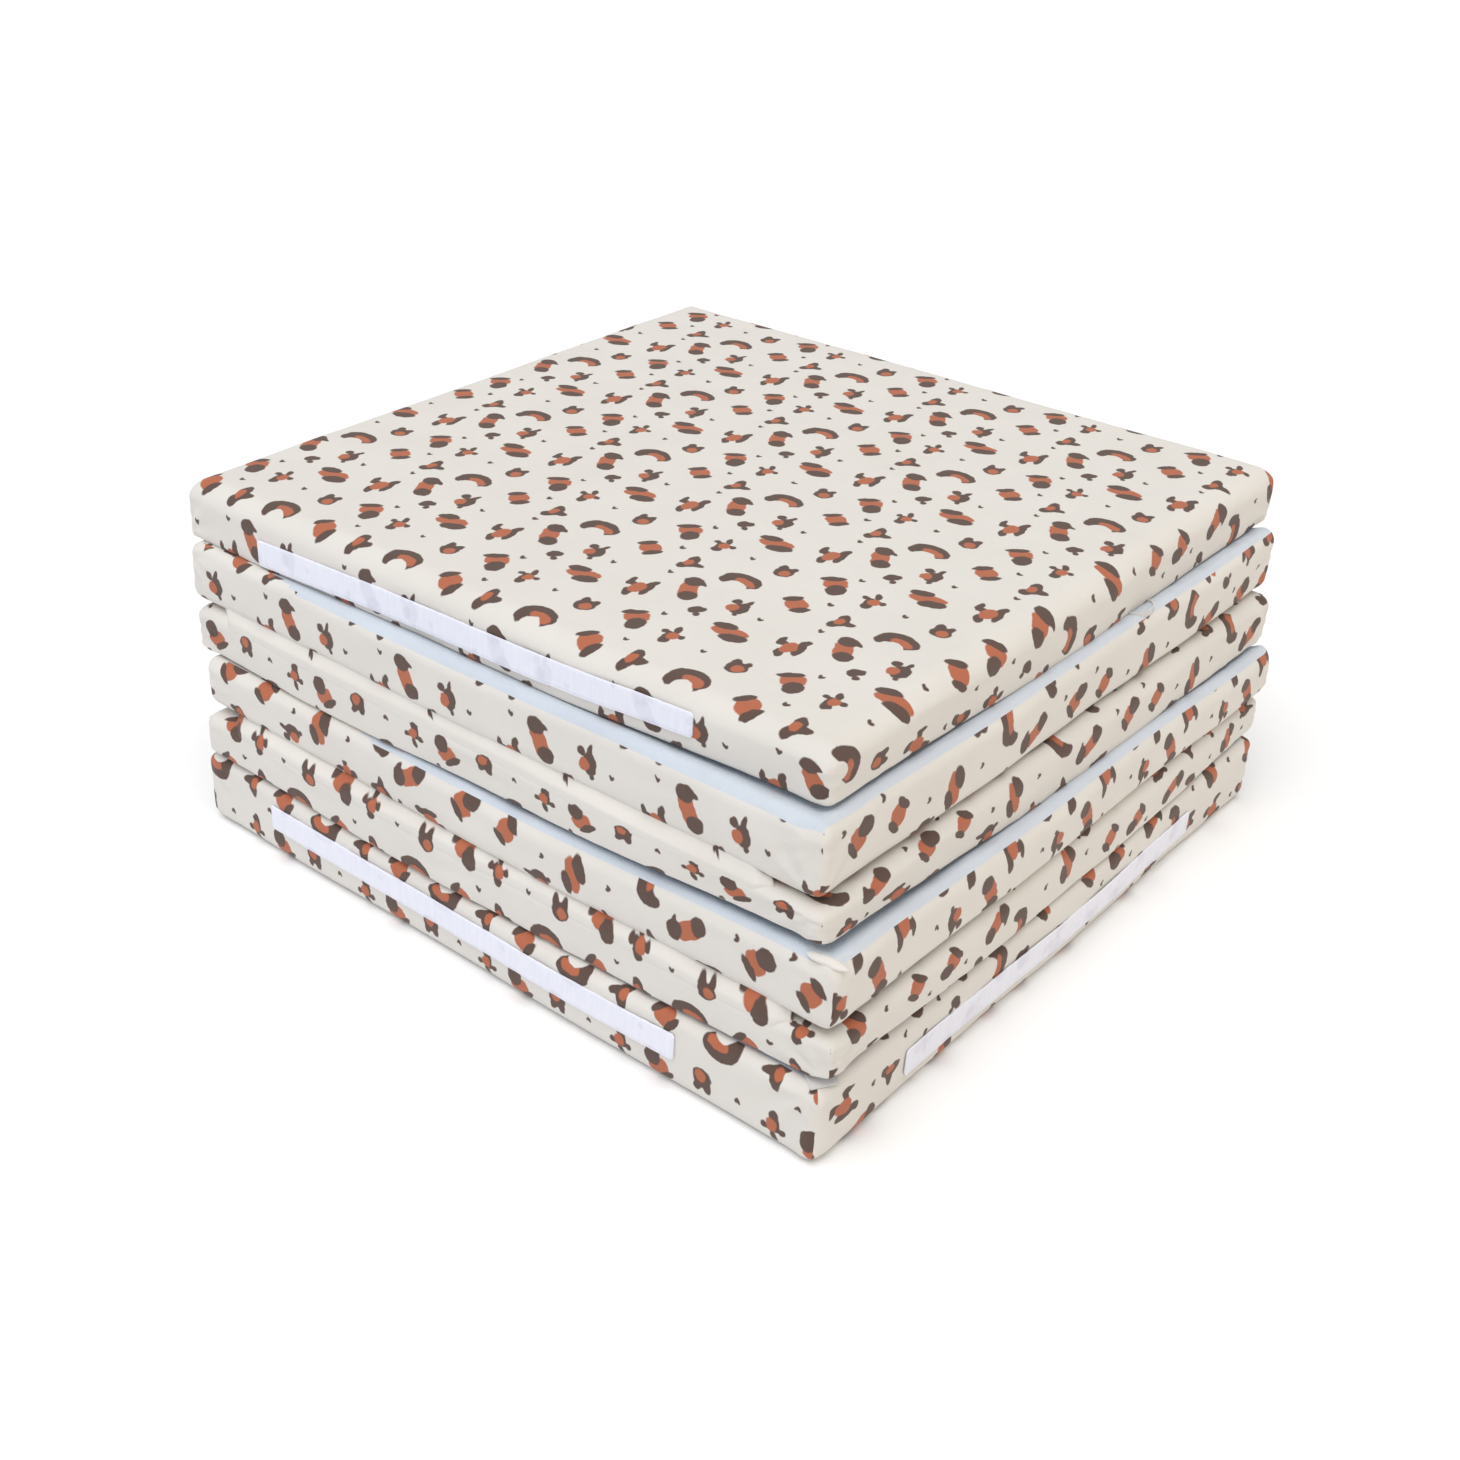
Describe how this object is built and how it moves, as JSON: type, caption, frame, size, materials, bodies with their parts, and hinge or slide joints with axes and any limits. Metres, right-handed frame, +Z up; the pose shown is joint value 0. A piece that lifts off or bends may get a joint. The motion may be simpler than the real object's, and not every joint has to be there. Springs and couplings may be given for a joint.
{
  "type": "folded baby play mat",
  "caption": "Padded baby floor mat folded back and forth into a square stack of soft panels, with a printed cloth face, a pale blue back and hook-and-loop tapes.",
  "frame": {"origin": "middle of the folded stack's footprint, on the surface that it rests on", "axes": "+Z up through the stack; -Y is the front side, which carries the top panel's tape; +X is the right side; the creases run along X"},
  "size_m": [0.6406, 0.6378, 0.2762],
  "materials": {
    "print_cloth": "matt woven, printed",
    "base_cloth": "matt woven, plain",
    "hook_tape": "matt looped"
  },
  "bodies": {
    "root": {"panel_1": "print_cloth", "panel_2": "print_cloth", "panel_3": "print_cloth", "panel_4": "print_cloth", "panel_5": "print_cloth", "panel_6": "print_cloth", "hinge_2_3": "print_cloth", "hinge_4_5": "print_cloth", "loop_1_2": "print_cloth", "hinge_1_2": "base_cloth", "hinge_3_4": "base_cloth", "hinge_5_6": "base_cloth", "tape_top_front": "hook_tape", "tape_base_front": "hook_tape", "tape_base_right": "hook_tape", "ribbon_3_4": "hook_tape", "ribbon_5_6": "hook_tape"}
  },
  "joints": []
}
